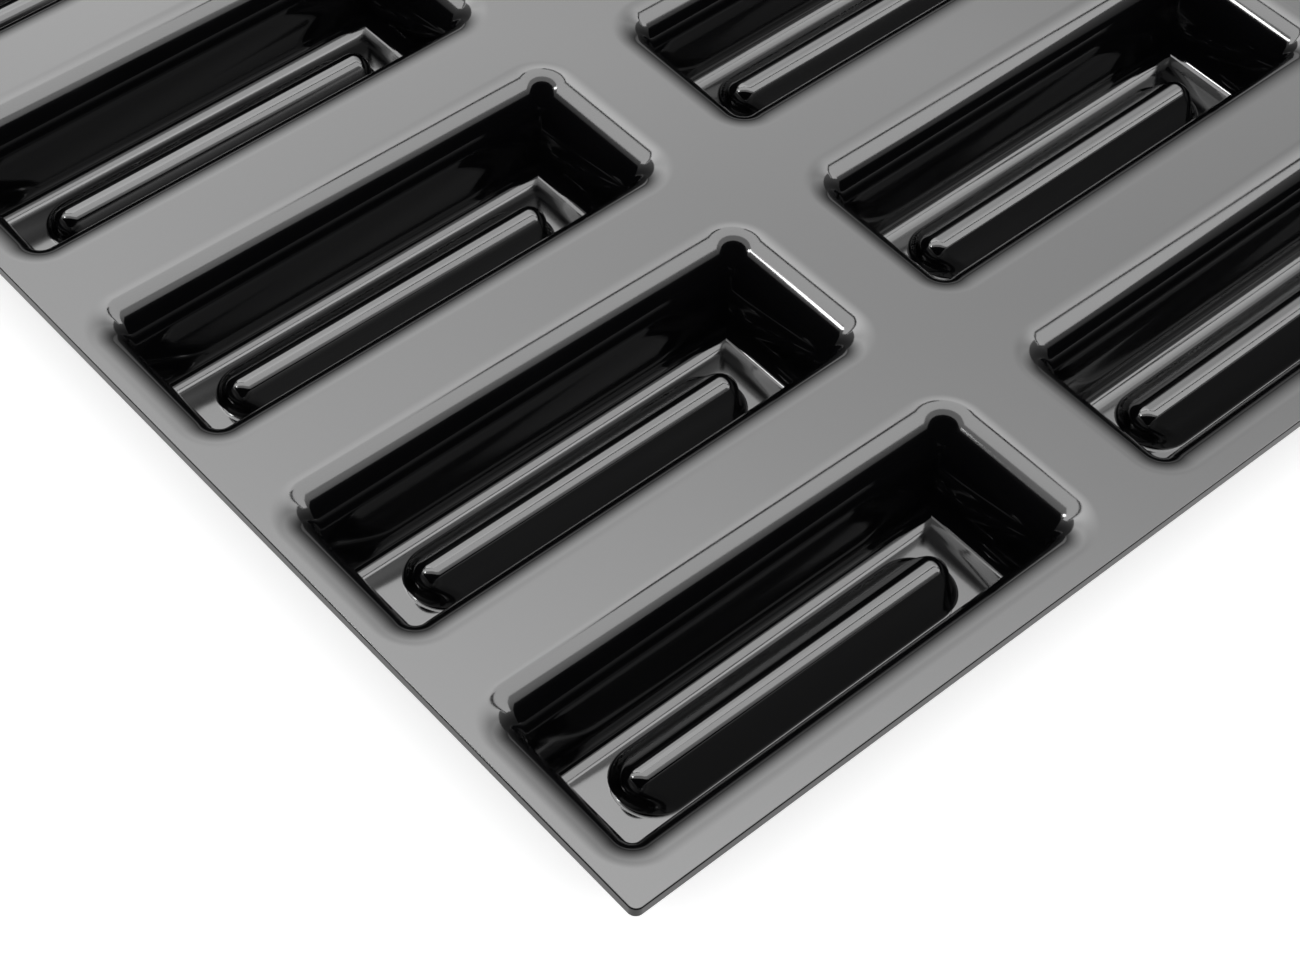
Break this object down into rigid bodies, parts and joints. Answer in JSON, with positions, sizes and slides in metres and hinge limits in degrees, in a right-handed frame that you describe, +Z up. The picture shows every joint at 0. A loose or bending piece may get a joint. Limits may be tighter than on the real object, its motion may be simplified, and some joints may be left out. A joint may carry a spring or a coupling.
{
  "type": "silicone bar cake mould",
  "caption": "Flexible baker's sheet with a grid of deep bar cavities, rolled shoulders, drafted walls and a round-backed ridge along each floor.",
  "frame": {"origin": "centre of the footprint, on the plane that the feet of the cups rest on", "axes": "+X along the bars and the sheet's long side, +Y across the bars, +Z up out of the cavities"},
  "size_m": [0.6, 0.4, 0.0265],
  "materials": {
    "silicone": "smooth glossy black food-grade silicone rubber"
  },
  "bodies": {
    "root": {"sheet": "silicone", "cup_r1_c1": "silicone", "cup_r1_c2": "silicone", "cup_r1_c3": "silicone", "cup_r1_c4": "silicone", "cup_r2_c1": "silicone", "cup_r2_c2": "silicone", "cup_r2_c3": "silicone", "cup_r2_c4": "silicone", "cup_r3_c1": "silicone", "cup_r3_c2": "silicone", "cup_r3_c3": "silicone", "cup_r3_c4": "silicone", "cup_r4_c1": "silicone", "cup_r4_c2": "silicone", "cup_r4_c3": "silicone", "cup_r4_c4": "silicone", "cup_r5_c1": "silicone", "cup_r5_c2": "silicone", "cup_r5_c3": "silicone", "cup_r5_c4": "silicone", "cup_r6_c1": "silicone", "cup_r6_c2": "silicone", "cup_r6_c3": "silicone", "cup_r6_c4": "silicone"}
  },
  "joints": []
}
